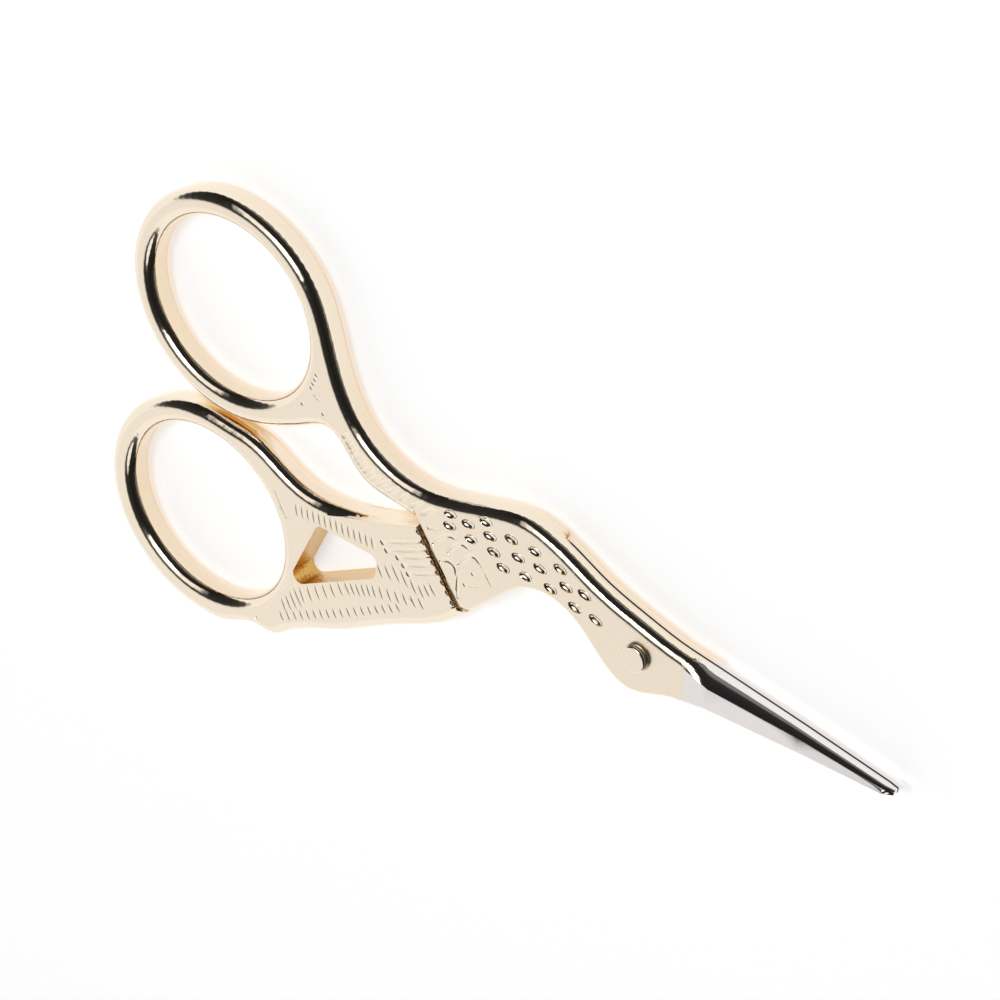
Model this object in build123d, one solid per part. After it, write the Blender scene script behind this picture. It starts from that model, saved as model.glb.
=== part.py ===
from build123d import *
from math import sqrt
import os

# Stork embroidery scissors, closed and lying on their back face.
# The origin is the pivot axis on the back face, +X runs to the tip of the beak,
# +Y to the bow of the front half and +Z out of the front face. Millimetres.

# Overall sizes
thickness = 3.0          # bows and body, back face to front face
handle_reach = 51.9      # pivot axis to the middle of the bows, along X
beak_reach = 28.0        # pivot axis to the tip of the beak
back_height = 6.6        # pivot axis to the top of the bird's back
beak_depth = 4.7         # height of the closed beak at its root

# Bows
bow_length = 25.3
bow_width = 23.5
bow_wall = 2.75          # width of a bow's rim round its finger hole
rear_hole_shift = 0.25   # the rear finger hole sits this much towards the beak and the back
bow_gap = 0.8            # space between the two bows when the scissors are shut

# Edges and gaps
edge_round = 1.15        # smooth outer edge of bows, legs, back and wing
edge_break = 0.3         # small rounding on breast, throat and the spine of the front blade
seam_gap = 0.5           # open seam between the wing and the body
stop_gap = 0.1           # gap left in the hidden step of the back when the scissors are shut
lap_gap = 0.05           # running gap between the two lapped faces
edge_land = 0.12         # flat left on a cutting edge
window_round = 0.9       # corners of the window between leg and wing

# Pivot screw
shank_diameter = 2.4
shank_clearance = 0.04
button_diameter = 2.8
button_height = 0.6
button_bevel = 0.15
head_diameter = 4.2
head_depth = 0.7
head_clearance = 0.06

# Where each leg's upper and lower line leave the bow: degrees on the bow, from +X towards +Y
front_bow_degrees = (33.0, 297.0)
rear_bow_degrees = (95.0, 268.0)

# Middles of the bows, as shares of the bow spread above the pivot axis
front_bow_share = 0.389
rear_bow_share = -0.609

# Outlines beside the rear bow, from its middle: x as shares of half its length, y of half its width
rear_bow_top_shares = [(0.680, 0.898), (0.411, 0.995), (0.170, 1.004)]
wing_tail_shares = [(0.310, -0.962), (0.720, -0.790)]
wing_corner_share = (0.895, -0.705)

# Leg and wing outlines: x as shares of the way from the near end of the bows to the pivot,
# y as shares of the spread of the bows
front_leg_under_shares = [(-0.057, 0.064), (0.024, 0.126), (0.108, 0.038), (0.162, -0.008), (0.233, -0.018)]
front_leg_back_shares = [(0.034, 0.389), (0.138, 0.197), (0.297, 0.126)]
rear_leg_top_shares = [(0.207, -0.127), (0.093, -0.188), (0.002, -0.210)]
wing_under_shares = [(0.129, -0.771), (0.299, -0.573)]
window_shares = [(0.036, -0.319), (0.230, -0.292), (0.230, -0.393), (-0.037, -0.695)]

# Body outlines: x as shares of handle_reach, y as shares of back_height
crotch_share = (-0.508, -0.158)
back_shares = [(-0.412, 0.705), (-0.287, 1.035)]
back_crest_share = (-0.205, 0.965)
neck_back_shares = [(-0.110, 0.720), (0.0, 0.550)]
seam_top_share = (-0.498, -0.075)
seam_foot_share = (-0.386, -1.000)
breast_corner_share = (-0.364, -0.975)
breast_shares = [(-0.314, -0.515), (-0.262, -0.075), (-0.202, 0.070), (-0.135, -0.065),
                 (-0.070, -0.415), (-0.006, -0.590), (0.055, -0.410)]
wing_root_share = (-0.397, -1.320)

# Beak, seen from the front: stations as shares of beak_reach, then the lower line, the end of
# the flat facet and the upper line as shares of beak_depth, then how much is left of the
# blade's thickness and of its spine's rounding
root_low_share = (0.171, -0.410)
root_high_share = (0.171, 0.660)
beak_shares = [(0.285, -0.230, 0.275, 0.645, 0.97, 0.9),
               (0.640, 0.080, 0.430, 0.582, 0.88, 0.7),
               (0.965, 0.295, 0.430, 0.500, 0.66, 0.45),
               (1.000, 0.355, 0.420, 0.470, 0.40, 0.2)]
ground_bulge_share = 0.12   # how far the ground face of a blade bows outwards, of its width

half = thickness / 2
bow_spread = bow_width + bow_gap
lap_front = half + lap_gap / 2
lap_rear = half - lap_gap / 2


def on_leg(share):
    bow_end = bow_length / 2 - handle_reach
    return (bow_end * (1 - share[0]), share[1] * bow_spread)


def on_body(share):
    return (share[0] * handle_reach, share[1] * back_height)


def on_beak(share):
    return (share[0] * beak_reach, share[1] * beak_depth)


root_low = on_beak(root_low_share)
root_high = on_beak(root_high_share)
low_slope = Vector(*on_beak((beak_shares[0][0], beak_shares[0][1]))) - Vector(*root_low)
high_slope = Vector(*on_beak((beak_shares[0][0], beak_shares[0][3]))) - Vector(*root_high)
back_crest = on_body(back_crest_share)
crotch = on_body(crotch_share)
crest_slope = Vector(handle_reach, -2 * back_height)
leg_slope = Vector(-handle_reach, -handle_reach / 3)
level_slope = Vector(handle_reach, 0)
breast_slope = Vector(handle_reach, 9 * back_height)


def bow_middle(rise_share):
    return (-handle_reach, rise_share * bow_spread)


def on_bow(rise_share, share):
    middle_x, middle_y = bow_middle(rise_share)
    return (middle_x + share[0] * bow_length / 2, middle_y + share[1] * bow_width / 2)


def bow_arc(rise_share, degrees):
    """The outer line of a bow, from the leg's upper line round the far end to its lower line."""
    start, end = degrees
    return EllipticalCenterArc(bow_middle(rise_share), bow_length / 2, bow_width / 2, start, arc_size=end - start)


def finger_hole(rise_share, shift):
    middle_x, middle_y = bow_middle(rise_share)
    oval = Ellipse(bow_length / 2 - bow_wall, bow_width / 2 - bow_wall)
    return Pos(middle_x + shift, middle_y + shift) * oval


def neck_back():
    """Back line shared by both halves, from the crest of the back to the root of the beak."""
    points = [back_crest] + [on_body(share) for share in neck_back_shares] + [root_high]
    return Spline(points, tangents=[crest_slope, high_slope])


def breast():
    """Breast and throat line shared by both halves, from the seam to the root of the beak."""
    points = [on_body(breast_corner_share)] + [on_body(share) for share in breast_shares] + [root_low]
    return Spline(points, tangents=[breast_slope, low_slope])


def edges_on(body, curves, level):
    """The body's edges that lie along the given plan curves at one height."""
    return [body.edges().sort_by_distance(curve @ 0.5 + Vector(0, 0, level))[0] for curve in curves]


def cut_beside(start, end, gap, floor, height):
    """A cutter for everything on the right of the line from start to end, and a gap beyond it."""
    start, end = Vector(*start), Vector(*end)
    along = (end - start).normalized()
    right = Vector(along.Y, -along.X)
    reach = handle_reach + beak_reach
    low, high = start - along * reach - right * gap, end + along * reach - right * gap
    sheet = make_face(Polyline(low, high, high + right * reach, low + right * reach, close=True))
    return Pos(0, 0, floor) * extrude(sheet, height)


def blade_section(station, spine, facet, edge, top, spine_round, ground, lap, side):
    """One section of a blade: side 1 stands on its lapped face, side -1 hangs under it, turned over."""
    def place(out, up):
        return (spine + side * out, lap + side * up)
    width, flat = abs(edge - spine), abs(facet - spine)
    corner = (1 - sqrt(0.5)) * spine_round
    outline = [Line(place(0, 0), place(0, top - spine_round)),
               ThreePointArc(place(0, top - spine_round), place(corner, top - corner), place(spine_round, top)),
               Line(place(spine_round, top), place(flat, top)),
               ThreePointArc(place(flat, top), place(*ground[0]), place(width, ground[1])),
               Line(place(width, ground[1]), place(width, 0)), Line(place(width, 0), place(0, 0))]
    return Plane.YZ.offset(station) * make_face(outline)


def blade(root, lap, side, spine_round):
    """A blade from the root face of the beak to its tip, ground from the flat facet to its edge."""
    height = half - lap_gap / 2
    sections = [root]
    for station, low_share, facet_share, high_share, top_share, round_share in beak_shares:
        low, high = low_share * beak_depth, high_share * beak_depth
        spine, edge = (low, high) if side > 0 else (high, low)
        flat, top = (facet_share - low_share) * beak_depth, top_share * height
        run, fall = high - low - flat, top - edge_land
        middle = (flat + run / 2 + fall * ground_bulge_share, top - fall / 2 + run * ground_bulge_share)
        sections.append(blade_section(station * beak_reach, spine, spine + side * flat, edge, top,
                                      round_share * spine_round, (middle, edge_land), lap, side))
    return loft(sections, ruled=True)


def rounded_edges(body, front_curves, back_curves):
    """Round the outer edge along the given curves of the front face and of the back face."""
    return fillet(edges_on(body, front_curves, thickness) + edges_on(body, back_curves, 0), edge_round)


def front_half():
    """Upper bow and leg at full thickness, and the front of body, neck, head and beak."""
    bow, hole = bow_arc(front_bow_share, front_bow_degrees), finger_hole(front_bow_share, 0)
    seam_top, seam_foot = on_body(seam_top_share), on_body(seam_foot_share)
    breast_line, neck_line = breast(), neck_back()
    under_points = [on_leg(share) for share in front_leg_under_shares]
    under_line = Spline([bow @ 1] + under_points + [seam_top], tangents=[bow % 1, level_slope])
    back_points = [on_leg(share) for share in front_leg_back_shares]
    back_points += [on_body(share) for share in back_shares]
    back_line = Spline([bow @ 0] + back_points + [back_crest], tangents=[bow % 0 * -1, crest_slope])
    outline = [bow, under_line, Line(seam_top, seam_foot), Line(seam_foot, breast_line @ 0), breast_line,
               Line(root_low, root_high), neck_line, back_line]
    body = extrude(make_face(outline) - hole, thickness)
    rounded = [bow, under_line, back_line, hole.edge()]
    body = rounded_edges(body, rounded + [neck_line], rounded)
    body = fillet(edges_on(body, [breast_line], thickness), edge_break)
    body -= cut_beside(crotch, back_crest, stop_gap, 0, lap_front)
    body += blade(body.faces().sort_by(Axis.X)[-1], lap_front, 1, edge_break)
    return body - extrude(Circle(shank_diameter / 2), thickness)


def rear_half():
    """Lower bow, leg and wing at full thickness, and the back of body, neck, head and beak."""
    bow, hole = bow_arc(rear_bow_share, rear_bow_degrees), finger_hole(rear_bow_share, rear_hole_shift)
    breast_line, neck_line = breast(), neck_back()
    tail_points = [on_bow(rear_bow_share, share) for share in wing_tail_shares]
    tail_line = Spline([bow @ 1] + tail_points, tangents=[bow % 1, level_slope])
    corner = TangentArc(tail_line @ 1, on_bow(rear_bow_share, wing_corner_share), tangent=tail_line % 1)
    wing_points = [corner @ 1] + [on_leg(share) for share in wing_under_shares]
    wing_points += [on_body(wing_root_share), breast_line @ 0]
    wing_line = Spline(wing_points, tangents=[corner % 1, breast_line % 0])
    leg_points = [crotch] + [on_leg(share) for share in rear_leg_top_shares]
    leg_points += [on_bow(rear_bow_share, share) for share in rear_bow_top_shares]
    leg_line = Spline(leg_points + [bow @ 0], tangents=[leg_slope, bow % 0])
    outline = [bow, tail_line, corner, wing_line, breast_line, Line(root_low, root_high), neck_line,
               Line(back_crest, crotch), leg_line]
    window = make_face(Polyline([on_leg(share) for share in window_shares], close=True))
    window = fillet(window.vertices(), window_round)
    body = extrude(make_face(outline) - hole - window, thickness)
    rounded = [bow, tail_line, corner, wing_line, leg_line, hole.edge()]
    body = rounded_edges(body, rounded, rounded + [breast_line, neck_line])
    body -= cut_beside(on_body(seam_foot_share), on_body(seam_top_share), seam_gap, lap_rear, thickness)
    body += blade(body.faces().sort_by(Axis.X)[-1], lap_rear, -1, edge_round)
    bore = extrude(Circle(shank_diameter / 2 + shank_clearance), thickness)
    return body - bore - extrude(Circle(head_diameter / 2 + head_clearance), head_depth + lap_gap)


def pivot_screw():
    """Flat head in the back, plain shank through both halves and a flat button on the front."""
    button = extrude(Circle(button_diameter / 2), button_height)
    button = chamfer(button.edges().group_by(Axis.Z)[-1], button_bevel)
    shank = extrude(Circle(shank_diameter / 2), thickness)
    return extrude(Circle(head_diameter / 2), head_depth) + shank + Pos(0, 0, thickness) * button


if __name__ == "__main__":
    os.makedirs("parts", exist_ok=True)
    for make in (front_half, rear_half, pivot_screw):
        export_step(make(), "parts/" + make.__name__ + ".step")
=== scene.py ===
from math import atan2, cos, pi, radians, sin

import bpy
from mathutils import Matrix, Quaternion, Vector


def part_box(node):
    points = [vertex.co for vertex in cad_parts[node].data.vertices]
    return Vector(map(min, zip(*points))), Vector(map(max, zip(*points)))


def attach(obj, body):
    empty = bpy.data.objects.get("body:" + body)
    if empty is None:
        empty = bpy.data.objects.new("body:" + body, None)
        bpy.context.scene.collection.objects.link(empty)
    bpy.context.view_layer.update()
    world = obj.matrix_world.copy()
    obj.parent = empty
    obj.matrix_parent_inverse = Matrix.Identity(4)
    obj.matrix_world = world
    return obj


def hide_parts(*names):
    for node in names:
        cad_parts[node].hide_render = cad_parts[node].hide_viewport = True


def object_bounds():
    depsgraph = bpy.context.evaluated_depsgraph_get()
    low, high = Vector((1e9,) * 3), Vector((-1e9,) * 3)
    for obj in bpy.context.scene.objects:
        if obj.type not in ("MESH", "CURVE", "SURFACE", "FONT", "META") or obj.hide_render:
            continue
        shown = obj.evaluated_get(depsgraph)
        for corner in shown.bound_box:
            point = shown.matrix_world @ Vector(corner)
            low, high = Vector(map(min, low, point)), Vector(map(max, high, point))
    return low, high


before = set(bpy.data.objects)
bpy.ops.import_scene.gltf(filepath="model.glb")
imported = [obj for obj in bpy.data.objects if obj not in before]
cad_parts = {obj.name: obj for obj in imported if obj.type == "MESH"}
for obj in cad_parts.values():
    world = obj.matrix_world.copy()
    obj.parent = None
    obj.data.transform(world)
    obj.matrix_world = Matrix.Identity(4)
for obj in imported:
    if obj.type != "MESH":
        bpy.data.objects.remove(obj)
CAD_LOW, CAD_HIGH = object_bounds()

bl_info = {
    "name": "Stork embroidery scissors",
    "version": (1, 0, 0),
    "blender": (4, 5, 0),
    "location": "3D View > Sidebar > Stork scissors",
    "description": "Engraved and plated stork scissors on a pale studio floor",
    "category": "Object",
}

# Places are in millimetres of the drawing: x and y from the pivot axis, as in the frame.
# MM turns them into the frame's metres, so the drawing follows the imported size.
DRAWN_LENGTH = 92.546
MM = (CAD_HIGH.x - CAD_LOW.x) / DRAWN_LENGTH
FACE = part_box("front_half")[1].z
BACK = CAD_LOW.z

# Lens-shaped marks down the body and the neck; their tilt runs from the first x to the last
FEATHER_MARKS = [
    (-18.65, 4.17), (-15.58, 4.02), (-12.81, 4.33), (-9.75, 4.13), (-22.75, 2.63), (-20.58, 2.77),
    (-17.96, 2.94), (-14.48, 2.56), (-11.92, 2.88), (-8.79, 2.63), (-6.67, 3.04), (-22.6, 1.38),
    (-20.0, 1.38), (-17.25, 1.52), (-15.94, 0.48), (-13.33, 1.1), (-10.42, 1.46), (-7.46, 1.1),
    (-5.0, 1.17),
]
MARKS_FROM, MARKS_TO = -22.75, -5.0
TILT_FROM, TILT_TO = radians(18), radians(-6)

# Graver strokes across the front leg, each from its lower to its upper end
FRONT_LADDER = [
    ((-36.2, 3.67), (-35.66, 4.29)), ((-35.7, 3.23), (-35.17, 3.88)),
    ((-35.32, 2.97), (-34.73, 3.7)), ((-34.97, 2.52), (-34.35, 3.4)),
    ((-34.61, 2.03), (-33.7, 3.03)), ((-34.14, 1.81), (-33.29, 2.81)),
    ((-33.76, 1.52), (-32.95, 2.51)), ((-33.32, 1.26), (-32.22, 2.38)),
    ((-32.92, 0.9), (-31.96, 2.0)), ((-32.39, 0.71), (-31.21, 2.04)),
    ((-31.65, 0.57), (-30.15, 2.14)), ((-30.3, 0.49), (-29.09, 1.95)),
    ((-28.72, 0.68), (-27.78, 1.9)), ((-27.39, 0.69), (-26.07, 2.03)),
    ((-26.09, 0.6), (-24.37, 2.17)),
]

# Rows of strokes on the wing: the line of their lower ends, that of their upper ends, how many
REAR_ROWS = [
    ([(-40.3, -8.1), (-35.6, -7.1), (-30.8, -6.35)],
     [(-40.6, -6.85), (-36.0, -5.9), (-31.2, -5.15)], 14),
    ([(-29.8, -4.9), (-29.2, -5.5), (-27.8, -5.5), (-27.0, -5.95), (-26.3, -6.55)],
     [(-25.3, -2.2), (-24.75, -2.85), (-24.15, -3.3), (-23.55, -3.9), (-22.95, -4.55)], 5),
    ([(-29.3, -8.8), (-26.8, -8.1), (-24.4, -8.3), (-22.9, -7.1)],
     [(-30.0, -7.8), (-28.2, -6.5), (-25.2, -7.3), (-23.8, -6.2)], 8),
    ([(-38.0, -17.4), (-33.0, -13.2), (-29.5, -11.4), (-24.0, -9.4)],
     [(-38.9, -15.9), (-33.8, -12.2), (-30.1, -10.3), (-24.8, -8.5)], 18),
    ([(-40.0, -19.8), (-38.2, -18.1)],
     [(-40.9, -18.5), (-39.6, -16.4)], 4),
    ([(-40.3, -20.9), (-33.6, -16.4), (-26.7, -11.3)],
     [(-40.8, -20.2), (-34.1, -15.7), (-27.2, -10.8)], 18),
]

# Long strokes and feather arcs, each a run of points, and single dots
FRONT_LINES = [
    [(-40.3, 6.2), (-39.5, 5.9)],
    [(-25.0, -0.4), (-24.51, -0.01), (-23.78, 0.08)],
    [(-24.21, -1.86), (-23.64, -0.75), (-22.84, 0.19), (-22.2, 0.48), (-21.53, 0.27)],
    [(-22.31, -1.75), (-22.01, -1.04), (-21.47, -0.19), (-20.99, 0.33), (-20.61, 0.34),
     (-19.82, 0.1)],
    [(-20.94, -2.36), (-20.56, -1.57), (-20.03, -0.68), (-19.54, -0.19), (-19.0, -0.31),
     (-18.16, -0.9)],
    [(-17.83, -1.23), (-17.39, -1.81), (-16.79, -2.27)],
    [(-23.09, -3.21), (-22.7, -2.65), (-22.14, -2.34), (-21.17, -2.63), (-20.97, -3.16),
     (-20.98, -3.76)],
    [(-20.82, -2.41), (-20.73, -3.8), (-20.65, -5.08), (-20.41, -5.85)],
    [(-19.16, -2.2), (-18.17, -1.24)],
    [(-19.87, -3.88), (-18.47, -3.4)],
]
FRONT_DOTS = [
    (-40.3, 8.5), (-40.4, 7.9), (-40.55, 7.35), (-40.7, 6.8), (-38.9, 4.8), (-41.5, 4.5),
    (-19.16, -2.2), (-19.87, -3.88),
]
REAR_LINES = [
    [(-43.5, -6.6), (-42.8, -7.8), (-41.4, -9.3)],
    [(-40.0, -15.5), (-41.4, -18.0), (-42.7, -20.5), (-43.9, -23.0)],
]
REAR_DOTS = [(-29.9, -5.0), (-29.3, -5.6), (-27.9, -5.6), (-27.1, -6.05), (-26.4, -6.65)]

# How much wider and deeper these are cut than a plain stroke
LADDER_WIDER, LADDER_DEEPER = 1.2, 1.5
ARC_DEEPER = 1.5
DOT_WIDER, DOT_DEEPER = 1.4, 1.6

# The wing's edge along the seam is cut in scallops, whose middles lie a little inside the wing
SEAM_TOP, SEAM_FOOT, SCALLOPS = (-26.25, -0.9), (-20.45, -6.98), 8
SCALLOPS_INSIDE = (-0.1, -0.1)

# Cutters are lenses. A soft one is lifted by a share of its half height, so that only its cap
# cuts, and needs more rings to stay round. A groove is shallower at its ends, by a share.
LENS_SIDES, LENS_RINGS, SOFT_RINGS = 12, 6, 14
SOFT_LIFT = 0.7
GROOVE_ROUNDNESS, GROOVE_STEPS, GROOVE_END = 16, 6, 0.3

# The two halves lap on each other from here to the tip, and the joint shows as a dark line of painted
# shade
LAP_FROM = -10.6

# The front blade at some x: the y of its flat facet's end and of its edge. The rounded back runs
# over into the ground face from the root, the first x, to the second.
GROUND_FACE = [
    (4.79, 1.95, 3.1), (7.98, 1.2925, 3.0315), (17.92, 2.021, 2.735), (27.02, 2.021, 2.35),
]
ROOT, GROUND_FROM = GROUND_FACE[0][0], GROUND_FACE[1][0]
ROOT_ABOVE, ROOT_CUTS = 1.2, 4

# Its shading: tilt in degrees at the ridge, how much more at the edge, and towards which x and y
RIDGE_TILT, EDGE_TILT_MORE = 43, 40
GROUND_TOWARD = (0.17, 0.98)

# How bright the tent is at each angle over the object, in degrees from the floor below the camera
# to the floor behind the object: under the roof lamp, and beside it
TENT_UNDER_LAMP = [
    (0, 0.2), (6, 0.03), (54, 0.012), (60, 0.4), (64, 1.0), (97, 1.0), (103, 0.04), (121, 0.06),
    (127, 1.0), (180, 1.0),
]
TENT_BESIDE_LAMP = [
    (0, 0.2), (6, 0.03), (54, 0.012), (112, 0.03), (121, 0.08), (127, 1.0), (180, 1.0),
]
HALF_TURN = 180

# Lamp and camera: the lamp's place from the pivot with x towards the camera, and its width; the
# place on the object that the camera looks at, and how far that lies below mid-thickness
LAMP_PLACE, LAMP_WIDTH = (60, 150, 450), 220
AIM, AIM_BELOW = (-18.665, 5.921), 0.15


def linear(code):
    """Linear colour of an sRGB hex code."""
    parts = [int(code[i:i + 2], 16) / 255 for i in (1, 3, 5)]
    return tuple(c / 12.92 if c <= 0.04045 else ((c + 0.055) / 1.055) ** 2.4 for c in parts)


def add_node(tree, kind, sockets=(), **settings):
    """A node with its settings; sockets gives values or links by the input's name or number."""
    made = tree.nodes.new(kind)
    for name, value in settings.items():
        setattr(made, name, value)
    for name, value in dict(sockets).items():
        if isinstance(value, bpy.types.NodeSocket):
            tree.links.new(value, made.inputs[name])
        else:
            made.inputs[name].default_value = value
    return made


class StorkPlating(bpy.types.PropertyGroup):
    gold: bpy.props.FloatVectorProperty(
        name="Gold", description="Pale gold plating on bows, body and neck", subtype="COLOR",
        size=3, min=0, max=1, default=linear("#F7E9D4"))
    # Painted reflection: a deeper gold on walls in hollows and tight gaps, in place of the gold
    # mirroring itself there
    painted_reflection_gold: bpy.props.FloatVectorProperty(
        name="Deep gold", description="Gold plating in the sheltered walls", subtype="COLOR",
        size=3, min=0, max=1, default=linear("#DDB46A"))
    nickel: bpy.props.FloatVectorProperty(
        name="Nickel", description="Bare polished blades that form the beak", subtype="COLOR",
        size=3, min=0, max=1, default=linear("#F1ECEA"))
    # Painted shade: the dark line in the rim of the gap between the lapped halves
    oil: bpy.props.FloatVectorProperty(
        name="Oil", description="Old oil and polish in the rim of the lapped joint", subtype="COLOR",
        size=3, min=0, max=1, default=linear("#2A211B"))
    plating_ends: bpy.props.FloatProperty(
        name="Plating ends", description="Where the gold stops on the front, from the pivot",
        unit="LENGTH", default=5.4 * MM)
    satin: bpy.props.FloatProperty(
        name="Satin", description="Roughness of the flat faces", min=0, max=1, default=0.26)
    polish: bpy.props.FloatProperty(
        name="Polish", description="Roughness of the rounded edges", min=0, max=1, default=0.07)


class StorkEngraving(bpy.types.PropertyGroup):
    stroke_width: bpy.props.FloatProperty(
        name="Stroke width", description="Width of a graver stroke", unit="LENGTH",
        default=0.5 * MM)
    stroke_depth: bpy.props.FloatProperty(
        name="Stroke depth", description="Depth of a graver stroke", unit="LENGTH",
        default=0.035 * MM)
    mark_length: bpy.props.FloatProperty(
        name="Mark length", description="Length of a feather mark", unit="LENGTH",
        default=1.65 * MM)
    mark_width: bpy.props.FloatProperty(
        name="Mark width", description="Width of a feather mark", unit="LENGTH",
        default=0.95 * MM)
    mark_depth: bpy.props.FloatProperty(
        name="Mark depth", description="Depth of a feather mark", unit="LENGTH",
        default=0.26 * MM)
    scallop_width: bpy.props.FloatProperty(
        name="Scallop width", description="Width of a scallop in the wing's edge", unit="LENGTH",
        default=0.78 * MM)
    scallop_depth: bpy.props.FloatProperty(
        name="Scallop depth", description="Depth of a scallop in the wing's edge", unit="LENGTH",
        default=0.075 * MM)
    seam_width: bpy.props.FloatProperty(
        name="Seam width", description="Width and depth of the open seam beside the wing",
        unit="LENGTH", default=0.38 * MM)
    slot_width: bpy.props.FloatProperty(
        name="Slot width", description="Width of the driver slot in the screw's head",
        unit="LENGTH", default=0.7 * MM)
    slot_depth: bpy.props.FloatProperty(
        name="Slot depth", description="Depth of the driver slot", unit="LENGTH",
        default=0.4 * MM)


class StorkStudio(bpy.types.PropertyGroup):
    turn: bpy.props.FloatProperty(
        name="Turn", description="Camera direction round the pivot axis, from +X", subtype="ANGLE",
        default=radians(52.76))
    height: bpy.props.FloatProperty(
        name="Height", description="Camera angle above the floor", subtype="ANGLE",
        default=radians(41.15))
    roll: bpy.props.FloatProperty(
        name="Roll", description="Turn of the camera about its own axis", subtype="ANGLE",
        default=radians(-121.35))
    distance: bpy.props.FloatProperty(
        name="Distance", description="Camera to the middle of the view", unit="LENGTH",
        default=404.4 * MM)
    lens: bpy.props.FloatProperty(
        name="Lens", description="Focal length on a 36 mm sensor", subtype="DISTANCE_CAMERA",
        default=159.63)
    lamp_power: bpy.props.FloatProperty(
        name="Lamp power", description="Power of the overhead soft box", unit="POWER", default=0.4)


def only(piece):
    """Leave just this piece selected and active."""
    bpy.ops.object.select_all(action="DESELECT")
    piece.select_set(True)
    bpy.context.view_layer.objects.active = piece


def edit_faces(piece, chosen, change, **settings):
    """Run one mesh operator on the chosen faces of a piece, and leave nothing selected."""
    for face in piece.data.polygons:
        face.select = chosen(face)
    only(piece)
    bpy.ops.object.mode_set(mode="EDIT")
    change(**settings)
    bpy.ops.mesh.select_all(action="DESELECT")
    bpy.ops.object.mode_set(mode="OBJECT")


def is_any(face):
    return True


def is_level(face):
    return abs(face.normal.z) > 0.99999


def is_slope(face):
    """Whether a face is on the rounded or ground side of the front half, above the lap."""
    return 0.1 < face.normal.z < 0.998 and face.center.z > 0.52 * FACE


def is_root(face):
    """Whether a face lies where the rounded back runs over into the blade's ground face."""
    x, y, _ = face.center / MM
    return ROOT < x < GROUND_FROM and y > ROOT_ABOVE and is_slope(face)


def plated_copy(node, name):
    """A copy of a CAD node as one closed mesh with clean flat faces, ready for the engraver."""
    piece = bpy.data.objects.new(name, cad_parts[node].data.copy())
    bpy.context.scene.collection.objects.link(piece)
    edit_faces(piece, is_any, bpy.ops.mesh.remove_doubles, threshold=0.002 * MM)
    edit_faces(piece, is_level, bpy.ops.mesh.dissolve_limited, angle_limit=radians(0.1))
    return piece


def gouge(piece, place, length, width, depth, turn, lift=0):
    """A lens-shaped cutter that sinks into the piece's front at a place, square to it.

    With no lift its lower half sinks in and leaves a steep rim. Lifted by a share of its own
    half height it leaves a shallow hollow with soft flanks, as long, wide and deep.
    """
    above = Vector((place[0] * MM, place[1] * MM, 2 * FACE))
    found, spot, out, _ = piece.ray_cast(above, Vector((0, 0, -1)))
    if not found:
        raise RuntimeError("a mark lies off the piece at %s" % (tuple(place),))
    tilt = Vector((0, 0, 1)).rotation_difference(out)
    half_height = depth / (1 - lift)
    wider = 1 / (1 - lift ** 2) ** 0.5
    bpy.ops.mesh.primitive_uv_sphere_add(
        segments=LENS_SIDES, ring_count=SOFT_RINGS if lift else LENS_RINGS, radius=0.5,
        location=spot + out * lift * half_height,
        rotation=(tilt @ Quaternion((0, 0, 1), turn)).to_euler(),
        scale=(length * wider, width * wider, 2 * half_height))
    return bpy.context.object


def stroke(piece, start, end, width, depth):
    """A graver stroke from start to end, widest and deepest in its middle."""
    run = Vector(end) - Vector(start)
    middle = (Vector(start) + Vector(end)) / 2
    turn = atan2(run.y, run.x)
    return gouge(piece, middle, run.length * MM + width, width, depth, turn, SOFT_LIFT)


def along(line, share):
    """The point at a share of the way along a run of points."""
    place = share * (len(line) - 1)
    first = min(int(place), len(line) - 2)
    return Vector(line[first]).lerp(Vector(line[first + 1]), place - first)


def row_of_strokes(piece, lower, upper, count, width, depth):
    """Strokes at even steps between the line of their lower ends and that of their upper ends."""
    shares = [i / (count - 1) for i in range(count)]
    return [stroke(piece, along(lower, s), along(upper, s), width, depth) for s in shares]


def groove(line, width, depth):
    """A thin worm along a run of points that leaves a groove in the flat front face."""
    radius = (width ** 2 / 4 + depth ** 2) / (2 * depth)
    path = bpy.data.curves.new("groove", "CURVE")
    path.dimensions, path.bevel_depth, path.use_fill_caps = "3D", radius, True
    path.bevel_resolution, path.resolution_u = GROOVE_ROUNDNESS, GROOVE_STEPS
    run = path.splines.new("NURBS")
    run.points.add(len(line) - 1)
    for i, (point, (x, y)) in enumerate(zip(run.points, line)):
        sunk = depth if 0 < i < len(line) - 1 else GROOVE_END * depth
        point.co = (x * MM, y * MM, FACE + radius - sunk, 1)
    run.order_u, run.use_endpoint_u = min(4, len(line)), True
    worm = bpy.data.objects.new("groove", path)
    bpy.context.scene.collection.objects.link(worm)
    only(worm)
    bpy.ops.object.convert(target="MESH")
    return bpy.context.object


def carve(piece, cutters):
    """Cut every cutter out of the piece at once."""
    bpy.ops.object.select_all(action="DESELECT")
    for cutter in cutters:
        cutter.select_set(True)
    bpy.context.view_layer.objects.active = cutters[0]
    if len(cutters) > 1:
        bpy.ops.object.join()
    tool = bpy.context.object
    only(piece)
    cut = piece.modifiers.new("engraving", "BOOLEAN")
    cut.operation, cut.solver, cut.use_self, cut.object = "DIFFERENCE", "EXACT", True, tool
    bpy.ops.object.modifier_apply(modifier=cut.name)
    bpy.data.objects.remove(tool)


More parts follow.
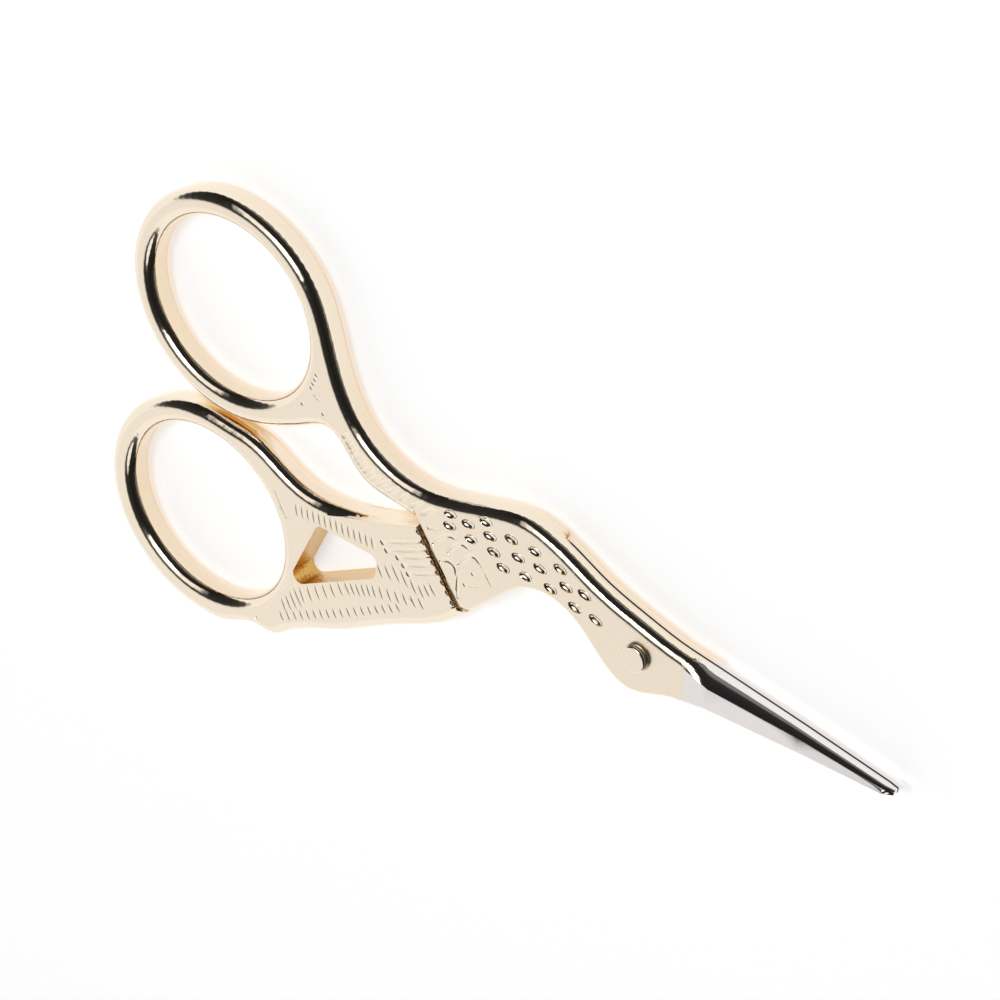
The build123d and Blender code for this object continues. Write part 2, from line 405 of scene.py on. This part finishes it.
def dress(piece, node, body):
    """Smooth shading with crisp cuts and the plated material; the CAD node that the piece stands for
    is hidden, and the piece joins its body.
    """
    only(piece)
    bpy.ops.object.shade_smooth_by_angle(angle=radians(32), keep_sharp_edges=False)
    weigh = piece.modifiers.new("even shading", "WEIGHTED_NORMAL")
    weigh.keep_sharp, weigh.weight = True, 100
    bpy.ops.object.modifier_apply(modifier=weigh.name)
    piece.data.materials.clear()
    piece.data.materials.append(plated_steel())
    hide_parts(node)
    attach(piece, body)


def blade_share(place):
    """How far a place lies across the front blade's ground face, 0 at its ridge and 1 at its edge."""
    near = 0.001
    x, y = place.x / MM, place.y / MM
    for (x0, ridge0, edge0), (x1, ridge1, edge1) in zip(GROUND_FACE, GROUND_FACE[1:]):
        if x0 - near <= x <= x1 + near:
            way = (x - x0) / (x1 - x0)
            ridge, edge = ridge0 + way * (ridge1 - ridge0), edge0 + way * (edge1 - edge0)
            return (y - ridge) / (edge - ridge)
    return -1


def hollow_grind(piece):
    """Turn the shading of the blade's ground face: steep behind a crisp ridge, steeper at the edge."""
    near_face, near_ridge = 0.02, 0.03
    mesh = piece.data
    normals = [corner.vector.copy() for corner in mesh.corner_normals]
    ridge = set()
    corners = [corner for face in mesh.polygons if is_slope(face) for corner in face.loop_indices]
    for corner in corners:
        spot = mesh.vertices[mesh.loops[corner].vertex_index]
        share = blade_share(spot.co)
        if not -near_face < share < 1 + near_face:
            continue
        ground = min(max((spot.co.x / MM - ROOT) / (GROUND_FROM - ROOT), 0), 1)
        if share < near_ridge and ground == 1:
            ridge.add(spot.index)
        tilt = radians(RIDGE_TILT + EDGE_TILT_MORE * min(max(share, 0), 1) ** 2)
        toward_x, toward_y = GROUND_TOWARD
        turned = Vector((toward_x * sin(tilt), toward_y * sin(tilt), cos(tilt)))
        eased = ground ** 2 * (3 - 2 * ground)
        normals[corner] = normals[corner].lerp(turned, eased).normalized()
    for edge in mesh.edges:
        if edge.vertices[0] in ridge and edge.vertices[1] in ridge:
            edge.use_edge_sharp = True
    mesh.normals_split_custom_set(normals)


def past_gold(tree, place, satin, plating):
    """1 on the bare nickel and 0 on the gold, which ends in a soft ragged line.

    The gold runs further out on the rear blade than on the front one.
    """
    raggedness, softness, further = 0.6 * MM, 0.45 * MM, 0.9
    ragged = add_node(tree, "ShaderNodeMath", {0: satin.outputs["Fac"], 1: raggedness,
                      2: place.outputs["X"]}, operation="MULTIPLY_ADD")
    deep = add_node(tree, "ShaderNodeMath", {0: place.outputs["Z"], 1: further,
                    2: ragged.outputs[0]}, operation="MULTIPLY_ADD")
    edge = plating.plating_ends + raggedness / 2 + further * FACE
    bare = add_node(tree, "ShaderNodeMapRange", {"Value": deep.outputs[0],
                    "From Min": edge - softness, "From Max": edge + softness})
    bare.interpolation_type = "SMOOTHSTEP"
    return bare.outputs[0]


def wheel_reach_and_painted_reflection(tree, steep):
    """1 where the polishing wheel reaches, falling to 0 on walls inside a hollow of the piece. It sets
    both the rough forged bump and where the painted reflection of deeper gold goes.
    """
    hollows = add_node(tree, "ShaderNodeAmbientOcclusion", {"Distance": 8.0 * MM}, samples=8,
                       only_local=True)
    open_wall = add_node(tree, "ShaderNodeMapRange", {"Value": hollows.outputs["AO"],
                         "From Min": 0.86, "From Max": 1.0})
    no_wall = add_node(tree, "ShaderNodeMath", {0: 1.0, 1: steep.outputs[0]}, operation="SUBTRACT")
    reach_and_reflection = add_node(tree, "ShaderNodeMath", {0: open_wall.outputs[0], 1: no_wall.outputs[0]},
                       operation="MAXIMUM")
    return reach_and_reflection.outputs[0]


def clear_of_painted_reflection(tree, reach_and_reflection):
    """1 on open faces, which keep the pale gold, and 0 in hollows and tight gaps, where a deeper gold
    is painted as the reflection of the gold around them.
    """
    tight = add_node(tree, "ShaderNodeAmbientOcclusion", {"Distance": 3.0 * MM}, samples=8)
    open_gap = add_node(tree, "ShaderNodeMapRange", {"Value": tight.outputs["AO"],
                        "From Min": 0.12, "From Max": 0.42})
    unreflected = add_node(tree, "ShaderNodeMath", {0: reach_and_reflection, 1: open_gap.outputs[0]},
                      operation="MULTIPLY")
    return unreflected.outputs[0]


def painted_joint_shade(tree, place, steep):
    """1 in the rim of the joint between the lapped halves, where the shade of the gap is painted dark.

    Only the walls there get it; the lapped faces, seen when the scissors open, stay clean.
    """
    line_core, line_rim, fades_in = 0.08 * MM, 0.14 * MM, 0.6
    off_joint = add_node(tree, "ShaderNodeMath", {0: place.outputs["Z"], 1: FACE / 2},
                         operation="SUBTRACT")
    from_joint = add_node(tree, "ShaderNodeMath", {0: off_joint.outputs[0]}, operation="ABSOLUTE")
    line = add_node(tree, "ShaderNodeMapRange", {"Value": from_joint.outputs[0],
                    "From Min": line_core, "From Max": line_rim, "To Min": 1.0, "To Max": 0.0})
    lapped = add_node(tree, "ShaderNodeMapRange", {"Value": place.outputs["X"],
                      "From Min": LAP_FROM * MM, "From Max": (LAP_FROM + fades_in) * MM})
    at_joint = add_node(tree, "ShaderNodeMath", {0: line.outputs[0], 1: lapped.outputs[0]},
                        operation="MULTIPLY")
    gap_shade = add_node(tree, "ShaderNodeMath", {0: at_joint.outputs[0], 1: steep.outputs[0]},
                    operation="MULTIPLY")
    return gap_shade.outputs[0]


def plated_steel():
    """Drop-forged steel, tumbled and nickel plated, then gold flashed down to the beak.

    The flat faces keep a fine satin from the stamping die and reflect in a soft even tone,
    the tumbled edges are bright and mirror the room, and the gold stops in a soft ragged line
    that leaves the nickel of the blades bare. Patterns are in millimetres: waves about 4 mm
    apart from the tumbling, and satin of about 0.3 mm.
    """
    name = "gold flashed nickel plated steel"
    if name in bpy.data.materials:
        return bpy.data.materials[name]
    plating = bpy.context.scene.stork_plating
    material = bpy.data.materials.new(name)
    material.use_nodes = True
    tree = material.node_tree
    shader = tree.nodes["Principled BSDF"]
    spot = add_node(tree, "ShaderNodeTexCoord")
    waves = add_node(tree, "ShaderNodeTexNoise", {"Vector": spot.outputs["Object"],
                     "Scale": 0.25 / MM, "Detail": 2.0})
    satin = add_node(tree, "ShaderNodeTexNoise", {"Vector": spot.outputs["Object"],
                     "Scale": 3.0 / MM, "Detail": 3.0})
    place = add_node(tree, "ShaderNodeSeparateXYZ", {"Vector": spot.outputs["Object"]})
    facing = add_node(tree, "ShaderNodeSeparateXYZ", {"Vector": spot.outputs["Normal"]})
    level = add_node(tree, "ShaderNodeMath", {0: facing.outputs["Z"]}, operation="ABSOLUTE")
    steep = add_node(tree, "ShaderNodeMapRange", {"Value": level.outputs[0], "From Min": 0.2,
                     "From Max": 0.5, "To Min": 1.0, "To Max": 0.0})
    # Painted reflection: walls in hollows and tight gaps get a deeper gold in place of the gold
    # mirroring itself there; open faces keep the pale gold
    reach_and_reflection = wheel_reach_and_painted_reflection(tree, steep)
    gold = add_node(tree, "ShaderNodeMix", {"Factor": clear_of_painted_reflection(tree, reach_and_reflection),
                    "A": (*plating.painted_reflection_gold, 1), "B": (*plating.gold, 1)}, data_type="RGBA")
    metal = add_node(tree, "ShaderNodeMix", {"Factor": past_gold(tree, place, satin, plating),
                     "A": gold.outputs[2], "B": (*plating.nickel, 1)}, data_type="RGBA")
    # Painted shade darkens the rim of the joint between the halves
    colour = add_node(tree, "ShaderNodeMix", {"Factor": painted_joint_shade(tree, place, steep),
                      "A": metal.outputs[2], "B": (*plating.oil, 1)}, data_type="RGBA")
    # Only the level faces touch the die, so they alone are satin, with a fine grain
    rough = add_node(tree, "ShaderNodeMapRange", {"Value": level.outputs[0], "From Min": 0.97,
                     "From Max": 0.999, "To Min": plating.polish, "To Max": plating.satin})
    grain = add_node(tree, "ShaderNodeMath", {0: satin.outputs["Fac"], 1: 0.04,
                     2: rough.outputs[0]}, operation="MULTIPLY_ADD")
    # Walls that the polishing wheel can't reach stay rough from the forging
    unpolished = add_node(tree, "ShaderNodeMapRange", {"Value": reach_and_reflection, "From Max": 0.5,
                          "To Min": 1.0, "To Max": 0.0})
    forged = add_node(tree, "ShaderNodeBump", {"Height": satin.outputs["Fac"],
                      "Strength": unpolished.outputs[0], "Distance": 0.12 * MM})
    ripple = add_node(tree, "ShaderNodeBump", {"Height": waves.outputs["Fac"], "Strength": 0.15,
                      "Distance": 0.05 * MM, "Normal": forged.outputs[0]})
    tree.links.new(colour.outputs[2], shader.inputs["Base Color"])
    tree.links.new(grain.outputs[0], shader.inputs["Roughness"])
    tree.links.new(ripple.outputs[0], shader.inputs["Normal"])
    shader.inputs["Metallic"].default_value = 1
    return material


class STORK_OT_front_half(bpy.types.Operator):
    """Front half: engraved body and neck, upper bow and leg"""

    bl_idname = "stork.front_half"
    bl_label = "Front half"

    def execute(self, context):
        size = context.scene.stork_engraving
        width, depth = size.stroke_width, size.stroke_depth
        piece = plated_copy("front_half", "front_half_plated")
        # Finer faces at the blade's root, for an even run of its shading
        edit_faces(piece, is_root, bpy.ops.mesh.subdivide, number_cuts=ROOT_CUTS)
        cutters = [self.mark(piece, place, size) for place in FEATHER_MARKS]
        for lower, upper in FRONT_LADDER:
            cutters.append(stroke(piece, lower, upper, LADDER_WIDER * width, LADDER_DEEPER * depth))
        cutters += [groove(line, width, ARC_DEEPER * depth) for line in FRONT_LINES]
        cutters += [stroke(piece, dot, dot, width, depth) for dot in FRONT_DOTS]
        carve(piece, cutters)
        dress(piece, "front_half", "front_lever")
        hollow_grind(piece)
        return {"FINISHED"}

    def mark(self, piece, place, size):
        """The cutter of one feather mark, which tilts with its place along the body."""
        share = (place[0] - MARKS_FROM) / (MARKS_TO - MARKS_FROM)
        tilt = TILT_FROM + (TILT_TO - TILT_FROM) * share
        return gouge(piece, place, size.mark_length, size.mark_width, size.mark_depth, tilt)


class STORK_OT_rear_half(bpy.types.Operator):
    """Rear half: engraved wing with its scalloped edge, lower bow and leg"""

    bl_idname = "stork.rear_half"
    bl_label = "Rear half"

    def execute(self, context):
        size = context.scene.stork_engraving
        width, depth = size.stroke_width, size.stroke_depth
        piece = plated_copy("rear_half", "rear_half_plated")
        cutters = []
        for lower, upper, count in REAR_ROWS:
            cutters += row_of_strokes(piece, lower, upper, count, width, depth)
        cutters += [groove(line, width, depth) for line in REAR_LINES]
        for dot in REAR_DOTS:
            cutters.append(stroke(piece, dot, dot, DOT_WIDER * width, DOT_DEEPER * depth))
        cutters += self.seam(piece, size)
        carve(piece, cutters)
        dress(piece, "rear_half", "rear_lever")
        return {"FINISHED"}

    def seam(self, piece, size):
        """A box that opens the seam beside the wing, half sunk in, and the wing's scallops."""
        top, run = Vector(SEAM_TOP) * MM, (Vector(SEAM_FOOT) - Vector(SEAM_TOP)) * MM
        middle = top + run / 2
        bpy.ops.mesh.primitive_cube_add(
            size=1, location=(middle.x, middle.y, FACE), rotation=(0, 0, atan2(run.y, run.x)),
            scale=(run.length, size.seam_width, 2 * size.seam_width))
        cutters = [bpy.context.object]
        for i in range(SCALLOPS):
            bite = along([SEAM_TOP, SEAM_FOOT], (i + 0.5) / SCALLOPS) + Vector(SCALLOPS_INSIDE)
            cutters.append(gouge(piece, bite, size.scallop_width, size.scallop_width,
                                 size.scallop_depth, 0, SOFT_LIFT))
        return cutters


class STORK_OT_pivot_screw(bpy.types.Operator):
    """Pivot screw: button on the front, slotted flat head in the back"""

    bl_idname = "stork.pivot_screw"
    bl_label = "Pivot screw"

    def execute(self, context):
        size = context.scene.stork_engraving
        piece = plated_copy("pivot_screw", "pivot_screw_plated")
        low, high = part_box("pivot_screw")
        bpy.ops.mesh.primitive_cube_add(
            size=1, location=(0, 0, BACK),
            scale=(2 * (high.x - low.x), size.slot_width, 2 * size.slot_depth))
        carve(piece, [context.object])
        soften = piece.modifiers.new("worn edges", "BEVEL")
        soften.width, soften.segments, soften.limit_method = 0.05 * MM, 2, "ANGLE"
        soften.angle_limit = radians(30)
        bpy.ops.object.modifier_apply(modifier=soften.name)
        dress(piece, "pivot_screw", "front_lever")
        return {"FINISHED"}


class STORK_OT_studio(bpy.types.Operator):
    """Pale floor, soft overhead light, bright room and the camera"""

    bl_idname = "stork.studio"
    bl_label = "Studio"

    def execute(self, context):
        studio = context.scene.stork_studio
        self.floor()
        self.room(context.scene, studio)
        self.lamp(studio)
        self.camera(context.scene, studio)
        context.scene.view_settings.view_transform = "Standard"
        return {"FINISHED"}

    def floor(self):
        """A wide sheet just under the object."""
        bpy.ops.object.select_all(action="DESELECT")
        bpy.ops.mesh.primitive_plane_add(size=4, location=(0, 0, BACK - 0.02 * MM))
        floor = bpy.context.object
        floor.name = "paper_floor"
        # Smooth white photographic paper: matt, and lit a little from below so that it stays white
        material = bpy.data.materials.new("white photographic paper")
        material.use_nodes = True
        shader = material.node_tree.nodes["Principled BSDF"]
        shader.inputs["Base Color"].default_value = (*linear("#F6F6F6"), 1)
        shader.inputs["Roughness"].default_value = 0.9
        shader.inputs["Specular IOR Level"].default_value = 0
        shader.inputs["Emission Color"].default_value = (1, 1, 1, 1)
        shader.inputs["Emission Strength"].default_value = 0.59
        floor.data.materials.append(material)

    def room(self, scene, studio):
        """A white tent, open and dark on the camera's side, with a roof lamp over the bows' side.

        Light depends on the angle over the object: 0 on the floor below the camera, half a turn
        on the floor behind the object. The roof lamp hangs on one side only; the other side of
        the roof stays dark, and a smaller light stands behind it.
        """
        world = bpy.data.worlds.new("white tent")
        world.use_nodes = True
        scene.world = world
        tree = world.node_tree
        tree.nodes.clear()
        toward = add_node(tree, "ShaderNodeTexCoord")
        turned = add_node(tree, "ShaderNodeVectorRotate", {"Vector": toward.outputs["Generated"],
                          "Angle": -studio.turn}, rotation_type="Z_AXIS")
        split = add_node(tree, "ShaderNodeSeparateXYZ", {"Vector": turned.outputs[0]})
        share = self.tent_share(tree, split)
        roof = add_node(tree, "ShaderNodeMix", {"Factor": self.lamp_side(tree, split),
                        "A": self.tent_light(tree, share, TENT_BESIDE_LAMP),
                        "B": self.tent_light(tree, share, TENT_UNDER_LAMP)}, data_type="RGBA")
        # The smaller light, where the left bends of the bows mirror it
        beside = add_node(tree, "ShaderNodeVectorMath", {0: toward.outputs["Generated"],
                          1: (0.19, -0.66, 0.73)}, operation="DOT_PRODUCT")
        small = add_node(tree, "ShaderNodeMapRange", {"Value": beside.outputs["Value"],
                         "From Min": 0.978, "From Max": 0.988})
        tent = add_node(tree, "ShaderNodeMix", {"Factor": small.outputs[0], "A": roof.outputs[2],
                        "B": (1, 1, 1, 1)}, data_type="RGBA")
        path = add_node(tree, "ShaderNodeLightPath")
        seen = add_node(tree, "ShaderNodeMix", {"Factor": path.outputs["Is Camera Ray"],
                        "A": tent.outputs[2], "B": (1, 1, 1, 1)}, data_type="RGBA")
        light = add_node(tree, "ShaderNodeBackground", {"Color": seen.outputs[2], "Strength": 1.0})
        add_node(tree, "ShaderNodeOutputWorld", {"Surface": light.outputs[0]})

    def tent_share(self, tree, split):
        """The share of the half turn over the object; opening and lamp bend away to both sides."""
        angle = add_node(tree, "ShaderNodeMath", {0: split.outputs["Z"], 1: split.outputs["X"]},
                         operation="ARCTAN2")
        half_turns = add_node(tree, "ShaderNodeMath", {0: angle.outputs[0], 1: pi},
                              operation="DIVIDE")
        aside = add_node(tree, "ShaderNodeMath", {0: split.outputs["Y"]}, operation="ABSOLUTE")
        share = add_node(tree, "ShaderNodeMath", {0: aside.outputs[0], 1: -0.167,
                         2: half_turns.outputs[0]}, operation="MULTIPLY_ADD")
        return share.outputs[0]

    def lamp_side(self, tree, split):
        """1 on the side where the roof lamp hangs, from the middle to where the lamp ends."""
        begins = add_node(tree, "ShaderNodeMapRange", {"Value": split.outputs["Y"],
                          "From Min": -0.03, "From Max": 0.07})
        outward = add_node(tree, "ShaderNodeMath", {0: split.outputs["Y"], 1: split.outputs["X"]},
                           operation="SUBTRACT")
        ends = add_node(tree, "ShaderNodeMapRange", {"Value": outward.outputs[0], "From Min": 0.64,
                        "From Max": 0.78, "To Min": 1.0, "To Max": 0.0})
        side = add_node(tree, "ShaderNodeMath", {0: begins.outputs[0], 1: ends.outputs[0]},
                        operation="MULTIPLY")
        return side.outputs[0]

    def tent_light(self, tree, share, stops):
        """Brightness over the share of the half turn, from stops of degrees and light."""
        ramp = add_node(tree, "ShaderNodeValToRGB", {"Fac": share})
        bar = ramp.color_ramp.elements
        while len(bar) < len(stops):
            bar.new(0.5)
        for stop, (degrees, light) in zip(bar, stops):
            stop.position, stop.color = degrees / HALF_TURN, (light, light, light, 1)
        return ramp.outputs["Color"]

    def lamp(self, studio):
        """A soft box over the bows' side, so that only that side's edges carry its bright line."""
        place = Quaternion((0, 0, 1), studio.turn) @ Vector(LAMP_PLACE)
        bpy.ops.object.light_add(type="AREA", location=place * MM)
        lamp = bpy.context.object
        lamp.name = "soft_box"
        lamp.data.shape, lamp.data.size = "DISK", LAMP_WIDTH * MM
        lamp.data.energy = studio.lamp_power

    def camera(self, scene, studio):
        """The photograph's view: a long lens from above the beak's side."""
        aim = Vector((AIM[0] * MM, AIM[1] * MM, (BACK + FACE) / 2 - AIM_BELOW * MM))
        turn, height = Quaternion((0, 0, 1), studio.turn), Quaternion((0, 1, 0), -studio.height)
        out = turn @ height @ Vector((1, 0, 0))
        bpy.ops.object.camera_add(location=aim + out * studio.distance)
        camera = bpy.context.object
        camera.name = "photo_camera"
        camera.rotation_mode = "QUATERNION"
        roll = Quaternion((0, 0, 1), studio.roll)
        camera.rotation_quaternion = out.to_track_quat("Z", "Y") @ roll
        camera.data.sensor_width, camera.data.lens = 36, studio.lens
        camera.data.clip_start, camera.data.clip_end = 10 * MM, 10000 * MM
        scene.camera = camera


STEPS = (STORK_OT_front_half, STORK_OT_rear_half, STORK_OT_pivot_screw, STORK_OT_studio)


class STORK_PT_scissors(bpy.types.Panel):
    """Sizes, colours and steps of the stork scissors"""

    bl_idname = "STORK_PT_scissors"
    bl_label = "Stork scissors"
    bl_space_type = "VIEW_3D"
    bl_region_type = "UI"
    bl_category = "Stork scissors"

    def draw(self, context):
        layout, scene = self.layout, context.scene
        for group in (scene.stork_plating, scene.stork_engraving, scene.stork_studio):
            box = layout.box()
            for name in group.bl_rna.properties.keys():
                if name not in ("rna_type", "name"):
                    box.prop(group, name)
        for step in STEPS:
            layout.operator(step.bl_idname)


CLASSES = (StorkPlating, StorkEngraving, StorkStudio, *STEPS, STORK_PT_scissors)


def register():
    for kind in CLASSES:
        bpy.utils.register_class(kind)
    bpy.types.Scene.stork_plating = bpy.props.PointerProperty(type=StorkPlating)
    bpy.types.Scene.stork_engraving = bpy.props.PointerProperty(type=StorkEngraving)
    bpy.types.Scene.stork_studio = bpy.props.PointerProperty(type=StorkStudio)


def unregister():
    del bpy.types.Scene.stork_studio
    del bpy.types.Scene.stork_engraving
    del bpy.types.Scene.stork_plating
    for kind in reversed(CLASSES):
        bpy.utils.unregister_class(kind)


def main():
    register()
    bpy.ops.stork.front_half()
    bpy.ops.stork.rear_half()
    bpy.ops.stork.pivot_screw()
    bpy.ops.stork.studio()


if __name__ == "__main__":
    main()
